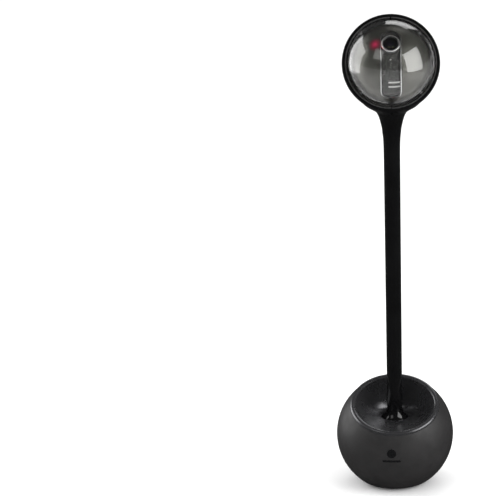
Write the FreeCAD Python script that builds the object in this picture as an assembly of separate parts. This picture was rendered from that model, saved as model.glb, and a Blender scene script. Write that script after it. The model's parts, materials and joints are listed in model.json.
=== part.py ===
"""Motorised desk webcam: a ball head on a tall stalk, standing in a weighted ball base.

Millimetres. +Z is up, the camera looks along -Y, +X is to the right seen from the front.
The origin is the middle of the underside of the rubber foot.
One STEP file is written for each separate piece.
"""

import FreeCAD, Part

import math
import os

from FreeCAD import Vector

# ---------------------------------------------------------------- driving sizes

# Ball base
BASE_R = 41.5
BASE_WALL = 2.5
BASE_CENTRE_Z = 36.0
BASE_FLAT_DROP = 35.0
BASE_EDGE_R = 6.0
OPENING_TILT = 24.4
OPENING_HEIGHT = 26.6
DISH_RIM_R = 28.0
DISH_FLOOR_R = 10.6
DISH_FLOOR = 12.0
DISH_WALL = 2.0

# Well in the base, and the plug that stands in it
WELL_R = 9.7
WELL_TOP = 9.4
WELL_FOOT_R = 6.9
PLUG_R = 4.62
PLUG_BORE_R = 4.70
PLUG_LENGTH = 12.0
CONE_LENGTH = 15.9
CONE_FOOT_R = 6.5

# Stalk
HEAD_ABOVE_BASE = 273.5
NECK_SEAM_DROP = 50.9
STALK_TOP_R = 6.55
STALK_WAIST_R = 5.8
STALK_FOOT_R = 5.35
STALK_BORE_R = 3.4
CORE_R = 2.0

# Ball head
HEAD_R = 34.5
HEAD_WALL = 2.0
DOME_PITCH = 18.0
FRONT_PLANE = 6.4
DOME_R = 32.0
DOME_BACK = 1.5
DOME_WALL = 1.5
BEZEL_IN_R = 31.15
BEZEL_OUT_R = 32.2
MASK_R = 27.9
MASK_WALL = 1.2
SKIRT_R = 10.8
SKIRT_DROP = 35.1
FLOOR_DROP = 29.8

# Slot and eye
SLOT_HALF = 7.2
SLOT_UP = 50.0
SLOT_DOWN = 63.0
LIP_WIDTH = 0.6
LENS_REST_TILT = 27.0
DRUM_R = 26.3
DRUM_WALL = 1.3
DRUM_HALF = 6.3
DRUM_UP = 75.0
DRUM_DOWN = 86.0
LENS_R = 4.9
RING_R = 6.45
LED_SIDE = 10.2

# Gears
GEAR_MODULE = 0.5
PRESSURE_ANGLE = 25.0
SUN_TEETH = 26
SECTOR_TEETH = 56
PINION_TEETH = 12
BACKLASH = 0.06

# Fits and small standard sizes
RUNNING_GAP = 0.06
SPINDLE_R = 5.0
AXLE_R = 1.5
SHAFT_R = 0.75
MOTOR_R = 5.0
SCREW_R = 1.25
SCREW_CLEAR_R = 1.6
CORD_BORE_R = 2.1
EXTENT = 200.0

BASE = Vector(0, 0, BASE_CENTRE_Z)
HEAD = Vector(0, 0, BASE_CENTRE_Z + HEAD_ABOVE_BASE)
NECK_SEAM_Z = HEAD.z - NECK_SEAM_DROP
FLANGE_Z = BASE.z + WELL_TOP + 0.4
FLANGE_R = 9.3
FLANGE_THICK = 2.0

SUN_R = GEAR_MODULE * SUN_TEETH / 2
SECTOR_R = GEAR_MODULE * SECTOR_TEETH / 2
PINION_R = GEAR_MODULE * PINION_TEETH / 2

Z_AXIS = Vector(0, 0, 1)
X_AXIS = Vector(1, 0, 0)
ORIGIN = Vector(0, 0, 0)


# ---------------------------------------------------------------- shape helpers

def cylinder(radius, start, end, centre=ORIGIN, axis=Z_AXIS):
    """Cylinder along an axis through a centre, between two distances from that centre."""
    return Part.makeCylinder(radius, end - start, centre + axis * start, axis)


def tube(outer, inner, start, end, centre=ORIGIN, axis=Z_AXIS):
    """Ring between two radii."""
    return cylinder(outer, start, end, centre, axis).cut(cylinder(inner, start, end, centre, axis))


def ball(radius, centre=ORIGIN):
    return Part.makeSphere(radius, centre)


def block(x_range, y_range, z_range):
    """Box from its three ranges."""
    low = Vector(x_range[0], y_range[0], z_range[0])
    return Part.makeBox(x_range[1] - x_range[0], y_range[1] - y_range[0], z_range[1] - z_range[0], low)


def line(start, end):
    return Part.LineSegment(Vector(start[0], 0, start[1]), Vector(end[0], 0, end[1])).toShape()


def arc(start, middle, end):
    """Circular arc in the XZ plane through three (radius, height) points."""
    points = [Vector(r, 0, z) for r, z in (start, middle, end)]
    return Part.Arc(*points).toShape()


def arc_about(centre_z, radius, start_r, end_r, side):
    """Arc of a circle centred on the axis, from one distance off the axis to another.

    side is +1 for the upper half of the circle and -1 for the lower half.
    """
    def point(r):
        return (r, centre_z + side * math.sqrt(radius ** 2 - r ** 2))
    start_angle = math.asin(start_r / radius)
    end_angle = math.asin(end_r / radius)
    middle_r = radius * math.sin((start_angle + end_angle) / 2)
    return arc(point(start_r), point(middle_r), point(end_r))


def curve(points):
    """Smooth curve in the XZ plane through (radius, height) points."""
    spline = Part.BSplineCurve()
    spline.interpolate([Vector(r, 0, z) for r, z in points])
    return spline.toShape()


def turned(edges):
    """Solid of revolution about Z from the edges of a closed outline in the XZ plane."""
    face = Part.Face(Part.Wire(edges))
    return face.revolve(ORIGIN, Z_AXIS, 360)


def turned_polygon(points):
    """Solid of revolution about Z from the corners of its outline, as (radius, height)."""
    corners = [Vector(r, 0, z) for r, z in points]
    face = Part.Face(Part.makePolygon(corners + corners[:1]))
    return face.revolve(ORIGIN, Z_AXIS, 360)


def prism(points, start, end):
    """Prism along X from the corners of its outline, as (y, z)."""
    corners = [Vector(start, y, z) for y, z in points]
    face = Part.Face(Part.makePolygon(corners + corners[:1]))
    return face.extrude(Vector(end - start, 0, 0))


def moved(shape, offset):
    placed = shape.copy()
    placed.translate(offset)
    return placed


def pitched(shape, elevation, centre):
    """Carry a shape built about +Z to a centre, with +Z turned to look forward at an elevation."""
    placed = shape.copy()
    placed.rotate(ORIGIN, X_AXIS, 90 - elevation)
    placed.translate(centre)
    return placed


def forward(elevation):
    """Unit vector that looks forward and up by an elevation."""
    angle = math.radians(elevation)
    return Vector(0, -math.cos(angle), math.sin(angle))


def joined(shapes):
    """One solid from touching shapes."""
    whole = shapes[0].multiFuse(shapes[1:])
    return whole.removeSplitter()


def around(shape, count, start_angle=0.0, centre=ORIGIN, axis=Z_AXIS):
    """Copies of a shape spread evenly round an axis."""
    copies = []
    for index in range(count):
        copy = shape.copy()
        copy.rotate(centre, axis, start_angle + 360 * index / count)
        copies.append(copy)
    return copies


def save(name, shape):
    """Write one piece, and stop if it isn't sound."""
    solids = shape.Solids
    if not shape.isValid() or not solids:
        raise RuntimeError(name + " is not a sound solid")
    kept = solids[0] if len(solids) == 1 else Part.makeCompound(solids)
    kept.exportStep("parts/" + name + ".step")
    print(name, len(solids), round(kept.Volume, 1))


# ---------------------------------------------------------------- gears

def involute(angle):
    return math.tan(angle) - angle


def tooth_half_angle(teeth, radius):
    """Half of a tooth's angular width at a radius, on an involute flank."""
    pitch_r = GEAR_MODULE * teeth / 2
    pressure = math.radians(PRESSURE_ANGLE)
    base_r = pitch_r * math.cos(pressure)
    at_pitch = math.pi / (2 * teeth) - BACKLASH / (2 * pitch_r)
    slope = math.acos(min(1.0, base_r / radius))
    return at_pitch + involute(pressure) - involute(slope)


def gear(teeth, start, end, bore, tooth_at):
    """Spur gear about Z with one tooth centred on the angle tooth_at, in degrees."""
    pitch_r = GEAR_MODULE * teeth / 2
    root_r = pitch_r - 1.2 * GEAR_MODULE
    tip_r = pitch_r + 0.9 * GEAR_MODULE
    base_r = pitch_r * math.cos(math.radians(PRESSURE_ANGLE))
    flank_start = max(root_r, base_r)
    radii = [root_r, flank_start, (flank_start + tip_r) / 2, tip_r]
    if flank_start == root_r:
        radii = radii[1:]
    corners = []
    for index in range(teeth):
        middle = math.radians(tooth_at) + 2 * math.pi * index / teeth
        rising = [(r, middle - tooth_half_angle(teeth, r)) for r in radii]
        falling = [(r, middle + tooth_half_angle(teeth, r)) for r in reversed(radii)]
        for radius, angle in rising + falling:
            corners.append(Vector(radius * math.cos(angle), radius * math.sin(angle), start))
    face = Part.Face(Part.makePolygon(corners + corners[:1]))
    solid = face.extrude(Vector(0, 0, end - start))
    if bore:
        solid = solid.cut(cylinder(bore, start - 1, end + 1))
    return solid


# ---------------------------------------------------------------- base

BASE_NORMAL = forward(90 - OPENING_TILT)
CORD_DROP = 25.0
CORD_DIRECTION = Vector(0, math.cos(math.radians(CORD_DROP)), -math.sin(math.radians(CORD_DROP)))


def above_opening(height):
    """Everything beyond a plane parallel to the slanted opening."""
    return pitched(cylinder(EXTENT, height, EXTENT), 90 - OPENING_TILT, BASE)


BADGE_R = 3.3
BADGE_ELEVATION = -2.4
BAR_LENGTH = 13.0
BAR_WIDTH = 1.5
BAR_ELEVATION = -10.6
BADGE_TURN = -3.7
BADGE_DEPTH = 0.7
BADGE_PROUD = 0.12


def on_front(shape, elevation):
    """Carry a shape built about +Z to the front of the base, a little to the left."""
    placed = pitched(shape, elevation, ORIGIN)
    placed.rotate(ORIGIN, Z_AXIS, BADGE_TURN)
    return moved(placed, BASE)


def badge_disc(spread):
    return on_front(cylinder(BADGE_R + spread, BASE_R - 5, BASE_R + 5), BADGE_ELEVATION)


def badge_pill(spread):
    """Bar with round ends, its long side level."""
    radius = BAR_WIDTH / 2 + spread
    half = (BAR_LENGTH - BAR_WIDTH) / 2
    bar = block((-half, half), (-radius, radius), (BASE_R - 5, BASE_R + 5))
    ends = [cylinder(radius, BASE_R - 5, BASE_R + 5, Vector(side * half, 0, 0)) for side in (-1, 1)]
    return on_front(joined([bar] + ends), BAR_ELEVATION)


BOTTOM_HOLE_R = 19.0
GROMMET_R = 3.6


def base_shell():
    inset_r = BASE_R - BASE_EDGE_R
    drop = BASE_FLAT_DROP - BASE_EDGE_R
    edge_r = math.sqrt(inset_r ** 2 - drop ** 2)
    tangent_r = edge_r * BASE_R / inset_r
    tangent_z = -drop * BASE_R / inset_r
    turn = math.radians(45) + math.atan2(drop, edge_r) / 2
    knee = (edge_r + BASE_EDGE_R * math.cos(turn), -drop - BASE_EDGE_R * math.sin(turn))
    side = arc((tangent_r, tangent_z), (BASE_R, 0), (0, BASE_R))
    edge = arc((edge_r, -BASE_FLAT_DROP), knee, (tangent_r, tangent_z))
    outline = [line((0, -BASE_FLAT_DROP), (edge_r, -BASE_FLAT_DROP)), edge, side,
               line((0, BASE_R), (0, -BASE_FLAT_DROP))]
    outer = moved(turned(outline), BASE)
    floor_z = BASE.z - BASE_FLAT_DROP + BASE_WALL
    cavity = ball(BASE_R - BASE_WALL, BASE).cut(block((-EXTENT, EXTENT), (-EXTENT, EXTENT), (-EXTENT, floor_z)))
    shell = outer.cut(cavity)
    shell = shell.cut(above_opening(OPENING_HEIGHT))
    shell = shell.cut(cylinder(BOTTOM_HOLE_R, 0, BASE.z - BASE_FLAT_DROP + BASE_WALL + 1))
    shell = shell.cut(cylinder(GROMMET_R, BASE_R - 2 * BASE_WALL, EXTENT, BASE, CORD_DIRECTION))
    for outline in (badge_disc(0), badge_pill(0)):
        shell = shell.cut(outline.cut(ball(BASE_R - BADGE_DEPTH, BASE)))
    return shell


def badge_layer():
    return ball(BASE_R + BADGE_PROUD, BASE).cut(ball(BASE_R - BADGE_DEPTH, BASE))


def front_badge():
    """Plain round inlay."""
    return badge_disc(-0.05).common(badge_layer())


def badge_bar():
    """Plain bar inlay below the round one."""
    return badge_pill(-0.05).common(badge_layer())


RIM_PLANE = 27.6
LIP_TOP_R = 30.2
LIP_TOP = 28.6
DISH_STEPS = ((0.0, 1.0), (0.3, 0.8), (0.6, 0.5), (0.87, 0.18), (1.0, 0.0))
DISH_BULGE = 0.5
MIC_HOLE_R = 0.6
MIC_R = 3.0
MIC_FOOT = 7.5
MIC_PLACE = Vector(-15.0, -27.0, 0)
HOUSING_R = 11.5


def dish_body(spread, drop):
    """Skewed bowl: round and slanted at the rim, round and level at the floor.

    Each step gives how far down the way from rim to floor a ring lies, and what share of the
    rim's slant it still has. spread widens the rings and drop lowers the floor.
    """
    rim = BASE_NORMAL * RIM_PLANE
    floor = Vector(0, 0, DISH_FLOOR - drop)
    rings = []
    for depth, slant in DISH_STEPS:
        centre = BASE + rim + (floor - rim) * depth
        fullness = (1 - depth) ** DISH_BULGE
        radius = DISH_FLOOR_R + (DISH_RIM_R - DISH_FLOOR_R) * fullness + spread
        rings.append(Part.Wire(Part.makeCircle(radius, centre, forward(90 - OPENING_TILT * slant))))
    return Part.makeLoft(rings, True, False)


def trim_bowl():
    """Glossy dish with a rolled lip, its floor level round the stalk."""
    edge_r = math.sqrt(BASE_R ** 2 - OPENING_HEIGHT ** 2)
    lip = turned([
        arc((DISH_RIM_R, RIM_PLANE), (LIP_TOP_R, LIP_TOP), (edge_r, OPENING_HEIGHT)),
        line((edge_r, OPENING_HEIGHT), (DISH_RIM_R, OPENING_HEIGHT)),
        line((DISH_RIM_R, OPENING_HEIGHT), (DISH_RIM_R, RIM_PLANE)),
    ])
    bowl = dish_body(DISH_WALL, DISH_WALL).cut(above_opening(OPENING_HEIGHT))
    bowl = bowl.common(ball(BASE_R - BASE_WALL - 0.1, BASE))
    bowl = joined([bowl, pitched(lip, 90 - OPENING_TILT, BASE)])
    bowl = bowl.cut(dish_body(0, 0))
    bowl = bowl.cut(cylinder(WELL_R, 0, EXTENT))
    return bowl.cut(cylinder(MIC_HOLE_R, BASE.z, EXTENT, MIC_PLACE))


HOUSING_FOOT = -24.4
HOUSING_FLANGE_R = 17.0
HOUSING_FLANGE_TOP = -21.4
CONTACT_TOP = -18.6
CONTACT_FOOT = -20.6
WELL_KNEE = WELL_TOP - CONE_LENGTH + 0.2
HOUSING_TOP = DISH_FLOOR - DISH_WALL - 0.02
SCREW_CIRCLE_R = 13.5
SCREW_COUNT = 3


def screw_places():
    return around(Part.Vertex(SCREW_CIRCLE_R, 0, 0), SCREW_COUNT, 30)


def screw_holes(radius, low, high):
    """Upright holes on the screw circle, between two heights above the base's centre."""
    return [cylinder(radius, BASE.z + low, BASE.z + high, Vector(place.X, place.Y, 0))
            for place in screw_places()]


def socket_housing():
    """Upright well under the dish's floor, on a flange that stands on the weight."""
    top = HOUSING_TOP
    well = turned_polygon([
        (0, top + 1), (WELL_R, top + 1), (WELL_R, WELL_TOP), (WELL_FOOT_R, WELL_KNEE),
        (PLUG_BORE_R, WELL_KNEE), (PLUG_BORE_R, CONTACT_FOOT), (0, CONTACT_FOOT)])
    body = joined([cylinder(HOUSING_R, HOUSING_FOOT, top),
                   cylinder(HOUSING_FLANGE_R, HOUSING_FOOT, HOUSING_FLANGE_TOP)])
    body = moved(body.cut(well).cut(cylinder(1.5, HOUSING_FOOT - 1, CONTACT_FOOT + 1)), BASE)
    for hole in screw_holes(SCREW_R, HOUSING_FOOT - 1, HOUSING_FLANGE_TOP + 1):
        body = body.cut(hole)
    return body


def contact_block(radius, foot, top, pin_height):
    """Round insulating block with five spring pins standing on it."""
    pins = around(cylinder(0.35, top, top + pin_height, Vector(1.6, 0, 0)), 4)
    pins.append(cylinder(0.35, top, top + pin_height))
    return joined([cylinder(radius, foot, top)] + pins)


def base_contacts():
    return moved(contact_block(PLUG_BORE_R - 0.02, CONTACT_FOOT, CONTACT_TOP, 0.3), BASE)


def base_board():
    foot = HOUSING_FLANGE_TOP
    board = tube(HOUSING_FLANGE_R, HOUSING_R + 0.2, foot, foot + 1.2)
    chips = around(block((12.6, 15.6), (-2.2, 2.2), (foot + 1.2, foot + 2.2)), 3, 80)
    plug = block((-3.5, 3.5), (12.4, 16.2), (foot + 1.2, foot + 4.2))
    board = joined([board, plug] + chips)
    for hole in screw_holes(SCREW_R + 0.3, foot - 1, foot + 3):
        board = board.cut(moved(hole, BASE * -1))
    return moved(board, BASE)


BALLAST_FOOT = -32.45
BALLAST_FOOT_R = 19.5
BALLAST_TOP_R = 27.5


def ballast_weight():
    weight = turned_polygon([(3.0, BALLAST_FOOT), (BALLAST_FOOT_R, BALLAST_FOOT),
                             (BALLAST_TOP_R, HOUSING_FOOT), (3.0, HOUSING_FOOT)])
    weight = moved(weight, BASE)
    for hole in screw_holes(SCREW_CLEAR_R, BALLAST_FOOT - 1, HOUSING_FOOT + 1):
        weight = weight.cut(hole)
    return weight


PLATE_THICK = 2.0
SCREW_HEAD_R = 2.4
SCREW_HEAD_THICK = 1.3


def bottom_plate():
    foot = -BASE_FLAT_DROP
    plate = moved(cylinder(BOTTOM_HOLE_R - 0.15, foot, foot + PLATE_THICK), BASE)
    for hole in screw_holes(SCREW_CLEAR_R, foot - 1, foot + PLATE_THICK + 1):
        plate = plate.cut(hole)
    for hole in screw_holes(SCREW_HEAD_R + 0.1, foot - 1, foot + SCREW_HEAD_THICK):
        plate = plate.cut(hole)
    return plate


def foot_pad():
    radius = 18.6
    thick = BASE.z - BASE_FLAT_DROP
    round_r = 0.6
    outline = [line((0, 0), (radius - round_r, 0)),
               arc((radius - round_r, 0), (radius - 0.3 * round_r, 0.3 * round_r), (radius, round_r)),
               line((radius, round_r), (radius, thick)),
               line((radius, thick), (0, thick)),
               line((0, thick), (0, 0))]
    return turned(outline)


def bottom_screws():
    foot = -BASE_FLAT_DROP
    screws = []
    for place in screw_places():
        centre = BASE + Vector(place.X, place.Y, 0)
        head = cylinder(SCREW_HEAD_R, foot + 0.1, foot + SCREW_HEAD_THICK, centre)
        shank = cylinder(SCREW_R, foot + SCREW_HEAD_THICK, HOUSING_FLANGE_TOP, centre)
        drive = cylinder(0.8, foot, foot + 0.8, centre)
        screws.append(joined([head, shank]).cut(drive))
    return Part.makeCompound(screws)


GROMMET_FLANGE_R = 4.8
GROMMET_FLANGE_THICK = 1.2
GROMMET_LENGTH = 7.0


def cord_grommet():
    face = BASE_R + 0.02
    sleeve = [(CORD_BORE_R, face - GROMMET_LENGTH), (GROMMET_R - 0.3, face - GROMMET_LENGTH),
              (GROMMET_R, face - GROMMET_LENGTH + 1), (GROMMET_R, face), (GROMMET_FLANGE_R, face),
              (GROMMET_FLANGE_R, face + 0.7), (GROMMET_FLANGE_R - 0.5, face + GROMMET_FLANGE_THICK),
              (CORD_BORE_R, face + GROMMET_FLANGE_THICK)]
    bush = turned_polygon(sleeve)
    bush.rotate(ORIGIN, X_AXIS, -(90 + CORD_DROP))
    return moved(bush, BASE)


def microphone():
    """Round capsule under its sound hole, its top shaped to the dish's underside."""
    capsule = cylinder(MIC_R, MIC_FOOT, EXTENT, MIC_PLACE + BASE)
    capsule = capsule.common(ball(BASE_R - BASE_WALL - 0.5, BASE)).cut(above_opening(OPENING_HEIGHT - 3))
    return capsule.cut(dish_body(DISH_WALL + 0.02, DISH_WALL + 0.02))


# ---------------------------------------------------------------- stalk

STALK_SEAT = BASE.z - 1.0
FLARE_HEIGHT = 6.2
CONTACT_R = 3.0


def stalk_profile_r(height):
    """Outer radius of the stalk's straight, slowly tapering length."""
    share = (height - STALK_SEAT) / (NECK_SEAM_Z - 18 - STALK_SEAT)
    return STALK_FOOT_R + (STALK_WAIST_R - STALK_FOOT_R) * share


def stalk_tube():
    top = NECK_SEAM_Z
    waist = top - 18
    flare = curve([(STALK_WAIST_R, waist), (STALK_WAIST_R + 0.05, waist + 6),
                   (STALK_WAIST_R + 0.22, top - 6), (STALK_TOP_R, top)])
    socket_foot = top - PLUG_LENGTH - 0.6
    outline = [
        line((stalk_profile_r(STALK_SEAT), STALK_SEAT), (STALK_WAIST_R, waist)),
        flare,
        line((STALK_TOP_R, top), (PLUG_BORE_R, top)),
        line((PLUG_BORE_R, top), (PLUG_BORE_R, socket_foot)),
        line((PLUG_BORE_R, socket_foot), (STALK_BORE_R, socket_foot)),
        line((STALK_BORE_R, socket_foot), (STALK_BORE_R, STALK_SEAT)),
        line((STALK_BORE_R, STALK_SEAT), (stalk_profile_r(STALK_SEAT), STALK_SEAT)),
    ]
    return turned(outline)


def foot_plug():
    """Trumpet-shaped foot, cone and plug of the stalk, with a socket above for the tube."""
    flange_foot = FLANGE_Z - BASE.z
    flange_top = flange_foot + FLANGE_THICK
    cone_foot = flange_foot - CONE_LENGTH
    plug_foot = cone_foot - PLUG_LENGTH
    tube_r = stalk_profile_r(STALK_SEAT) + 0.02
    mouth_z = flange_top + FLARE_HEIGHT
    mouth_r = stalk_profile_r(mouth_z + BASE.z) + 0.03
    lip_r = mouth_r + 0.35
    seat = STALK_SEAT - BASE.z
    pocket = 2.4
    outline = [
        line((mouth_r, mouth_z), (lip_r, mouth_z)),
        curve([(lip_r, mouth_z), (lip_r + 0.45, mouth_z - 1.8), (lip_r + 1.5, mouth_z - 3.9),
               (FLANGE_R - 0.4, flange_top + 0.3)]),
        arc((FLANGE_R - 0.4, flange_top + 0.3), (FLANGE_R - 0.06, flange_top + 0.02),
            (FLANGE_R, flange_top - 0.4)),
        line((FLANGE_R, flange_top - 0.4), (FLANGE_R, flange_foot)),
        line((FLANGE_R, flange_foot), (CONE_FOOT_R, cone_foot)),
        line((CONE_FOOT_R, cone_foot), (PLUG_R, cone_foot)),
        line((PLUG_R, cone_foot), (PLUG_R, plug_foot + 0.5)),
        line((PLUG_R, plug_foot + 0.5), (PLUG_R - 0.5, plug_foot)),
        line((PLUG_R - 0.5, plug_foot), (CONTACT_R, plug_foot)),
        line((CONTACT_R, plug_foot), (CONTACT_R, plug_foot + pocket)),
        line((CONTACT_R, plug_foot + pocket), (CORE_R + 0.1, plug_foot + pocket)),
        line((CORE_R + 0.1, plug_foot + pocket), (CORE_R + 0.1, seat)),
        line((CORE_R + 0.1, seat), (tube_r, seat)),
        line((tube_r, seat), (mouth_r, mouth_z)),
    ]
    return moved(turned(outline), BASE)


PLUG_FOOT_Z = FLANGE_Z - CONE_LENGTH - PLUG_LENGTH


def plug_contacts(plug_foot_z, lift):
    """Contact disc pressed into the end of a plug."""
    disc = cylinder(CONTACT_R - 0.02, lift, 2.3)
    pads = around(cylinder(0.5, 0, lift, Vector(1.6, 0, 0)), 4)
    pads.append(cylinder(0.5, 0, lift))
    return moved(joined([disc] + pads), Vector(0, 0, plug_foot_z + 0.05))


def foot_contacts():
    return plug_contacts(PLUG_FOOT_Z, 0.2)


def stalk_core():
    top = NECK_SEAM_Z - PLUG_LENGTH - 3.6
    return cylinder(CORE_R, PLUG_FOOT_Z + 2.5, top)


def top_contacts():
    foot = NECK_SEAM_Z - PLUG_LENGTH - 3.6
    top = NECK_SEAM_Z - PLUG_LENGTH - 0.6
    return contact_block(STALK_BORE_R - 0.02, foot, top, 0.3)


# ---------------------------------------------------------------- neck

NECK_GAP = 0.3
SPINDLE_BORE_R = 3.0
GEAR_FOOT_DROP = 29.5
GEAR_TOP_DROP = 27.5


def neck_cone():
    """Flared collar between the stalk and the head, turned round the spindle."""
    top = -SKIRT_DROP - NECK_GAP
    foot = -NECK_SEAM_DROP
    flare = curve([(SKIRT_R - 0.1, top), (9.35, top - 2.5), (8.05, top - 6.8), (7.05, top - 11.2),
                   (STALK_TOP_R + 0.05, foot)])
    outline = [
        flare,
        line((STALK_TOP_R + 0.05, foot), (SPINDLE_R, foot)),
        line((SPINDLE_R, foot), (SPINDLE_R, top)),
        line((SPINDLE_R, top), (SKIRT_R - 0.1, top)),
    ]
    return moved(turned(outline), HEAD)


def pan_spindle():
    shank = tube(SPINDLE_R, SPINDLE_BORE_R, -NECK_SEAM_DROP, -GEAR_FOOT_DROP)
    nose = tube(SPINDLE_R - 1.0, SPINDLE_BORE_R, -GEAR_FOOT_DROP, -GEAR_TOP_DROP)
    return moved(joined([shank, nose]), HEAD)


def sun_gear():
    return moved(gear(SUN_TEETH, -GEAR_FOOT_DROP, -GEAR_TOP_DROP, SPINDLE_R - 1.0, 90), HEAD)


def neck_plug():
    foot = -NECK_SEAM_DROP - PLUG_LENGTH
    head = -NECK_SEAM_DROP
    outline = [(PLUG_R, head), (PLUG_R, foot + 0.5), (PLUG_R - 0.5, foot), (3.0, foot), (3.0, foot + 2.4),
               (CORE_R, foot + 2.4), (CORE_R, head + 6), (SPINDLE_BORE_R, head + 6), (SPINDLE_BORE_R, head)]
    return moved(turned_polygon(outline), HEAD)


def neck_contacts():
    return plug_contacts(HEAD.z - NECK_SEAM_DROP - PLUG_LENGTH, 0.2)


# ---------------------------------------------------------------- head shells and window

DOME_AXIS = forward(DOME_PITCH)
TILT_CENTRE = HEAD - DOME_AXIS * DOME_BACK
DOWEL_PLACES = ((20.5, 21.5), (22.5, -18.5))
DOWEL_R = 1.0
BOSS_R = 2.2
BUSH_R = 7.0


def in_head(shape):
    """Place a shape built along +Z about the head's centre so that it faces the window's way."""
    return pitched(shape, DOME_PITCH, HEAD)


def head_shell(side):
    """One half of the ball, left (-1) or right (+1) of the middle seam."""
    joint_r = 20.6
    joint_z = -math.sqrt(HEAD_R ** 2 - joint_r ** 2)
    skirt = curve([(joint_r, joint_z), (16.0, -31.5), (12.3, -33.8), (SKIRT_R, -SKIRT_DROP)])
    outline = [
        arc((0, HEAD_R), (HEAD_R, 0), (joint_r, joint_z)),
        skirt,
        line((SKIRT_R, -SKIRT_DROP), (0, -SKIRT_DROP)),
        line((0, -SKIRT_DROP), (0, HEAD_R)),
    ]
    outer = turned(outline)
    keep_floor = block((-EXTENT, EXTENT), (-EXTENT, EXTENT), (-EXTENT, -FLOOR_DROP))
    shell = outer.cut(ball(HEAD_R - HEAD_WALL).cut(keep_floor))
    bosses = []
    for y, z in DOWEL_PLACES:
        bosses.append(cylinder(BOSS_R, -HEAD_R, HEAD_R, Vector(0, y, z), X_AXIS).common(ball(HEAD_R - 1)))
    shell = joined([shell] + bosses)
    shell = shell.cut(cylinder(BUSH_R, -EXTENT, 0))
    for y, z in DOWEL_PLACES:
        shell = shell.cut(cylinder(DOWEL_R, -3.05, 3.05, Vector(0, y, z), X_AXIS))
    shell = moved(shell, HEAD)
    shell = shell.cut(in_head(cylinder(EXTENT, FRONT_PLANE, EXTENT)))
    shell = shell.cut(in_head(cylinder(BEZEL_OUT_R + 0.02, BEZEL_FOOT, EXTENT)))
    half = block(sorted((0, side * EXTENT)), (-EXTENT, EXTENT), (-EXTENT, 2 * EXTENT))
    return shell.common(half)


BEZEL_FOOT = 4.4
BEZEL_RISE = 0.75
BEZEL_NOTCH = 0.8


def bezel(side):
    """Half of the ring that holds the window, bevelled, with a thin groove round its face."""
    front = FRONT_PLANE + BEZEL_RISE
    middle = (BEZEL_IN_R + BEZEL_OUT_R) / 2
    ring = turned_polygon([
        (31.6, BEZEL_FOOT), (BEZEL_OUT_R, BEZEL_FOOT), (BEZEL_OUT_R, FRONT_PLANE + 0.1),
        (middle + 0.35, front), (middle + 0.12, front), (middle + 0.12, front - 0.35),
        (middle - 0.12, front - 0.35), (middle - 0.12, front), (middle - 0.3, front),
        (BEZEL_IN_R, FRONT_PLANE + 0.2), (BEZEL_IN_R, FRONT_PLANE)])
    half = block(sorted((side * BEZEL_NOTCH / 2, side * EXTENT)), (-EXTENT, EXTENT), (-EXTENT, EXTENT))
    return in_head(ring.common(half))


WINDOW_SEAT = 3.0


def dome_window():
    centre = Vector(0, 0, -DOME_BACK)
    dome = ball(DOME_R, centre).cut(ball(DOME_R - DOME_WALL, centre))
    return in_head(dome.common(cylinder(EXTENT, WINDOW_SEAT, EXTENT)))


def slot_cutter(half, start, end):
    """Curved slot with round ends, about the tilt centre, between two radii."""
    end_angle = math.degrees(math.asin(half / MASK_R))
    low = -SLOT_DOWN + end_angle
    high = SLOT_UP - end_angle
    band = cylinder(end, -half, half, ORIGIN, X_AXIS).cut(cylinder(start, -half, half, ORIGIN, X_AXIS))
    fan = [(0, 0)]
    steps = 12
    for step in range(steps + 1):
        angle = math.radians(low + (high - low) * step / steps)
        fan.append((-2 * end * math.sin(angle), 2 * end * math.cos(angle)))
    band = band.common(prism([(-y, z) for y, z in fan], -half, half))
    ends = []
    for angle in (low, high):
        stub = cylinder(half, start, end)
        stub.rotate(ORIGIN, X_AXIS, -angle)
        ends.append(stub)
    return joined([band] + ends)


def in_mask(shape):
    """Place a shape built along +Z about the tilt centre so that it faces the window's way."""
    return pitched(shape, DOME_PITCH, TILT_CENTRE)


def slot_mask():
    cap = ball(MASK_R).cut(ball(MASK_R - MASK_WALL))
    cap = cap.common(cylinder(EXTENT, WINDOW_SEAT + DOME_BACK, EXTENT))
    return in_mask(cap.cut(slot_cutter(SLOT_HALF, MASK_R - 5, MASK_R + 5)))


def slot_lip():
    """Bright edging pressed into the slot."""
    frame = slot_cutter(SLOT_HALF - 0.01, MASK_R - 3, MASK_R + 3)
    frame = frame.cut(slot_cutter(SLOT_HALF - LIP_WIDTH, MASK_R - 5, MASK_R + 5))
    layer = ball(MASK_R + 0.25).cut(ball(MASK_R - MASK_WALL + 0.05))
    return in_mask(frame.common(layer))


# ---------------------------------------------------------------- head frame and drives

PLATE_IN = 9.5
PLATE_OUT = 12.0
PINION_FROM = 7.2
PINION_TO = 9.0
TILT_PINION_AT = SECTOR_R + PINION_R
PAN_PINION_AT = SUN_R + PINION_R
PAN_MOTOR_FOOT = -25.3
PAN_MOTOR_TOP = -12.6
TILT_MOTOR_BACK = TILT_PINION_AT + DOME_BACK


def window_frame(points):
    """Turn (forward, upward) pairs in the window's frame into (y, z) pairs about the head's centre."""
    cos_p = math.cos(math.radians(DOME_PITCH))
    sin_p = math.sin(math.radians(DOME_PITCH))
    return [(-f * cos_p + u * sin_p, f * sin_p + u * cos_p) for f, u in points]


TILT_MOTOR_YZ = window_frame([(-TILT_MOTOR_BACK, 0)])[0]
TILT_AXIS_YZ = window_frame([(-DOME_BACK, 0)])[0]


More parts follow.
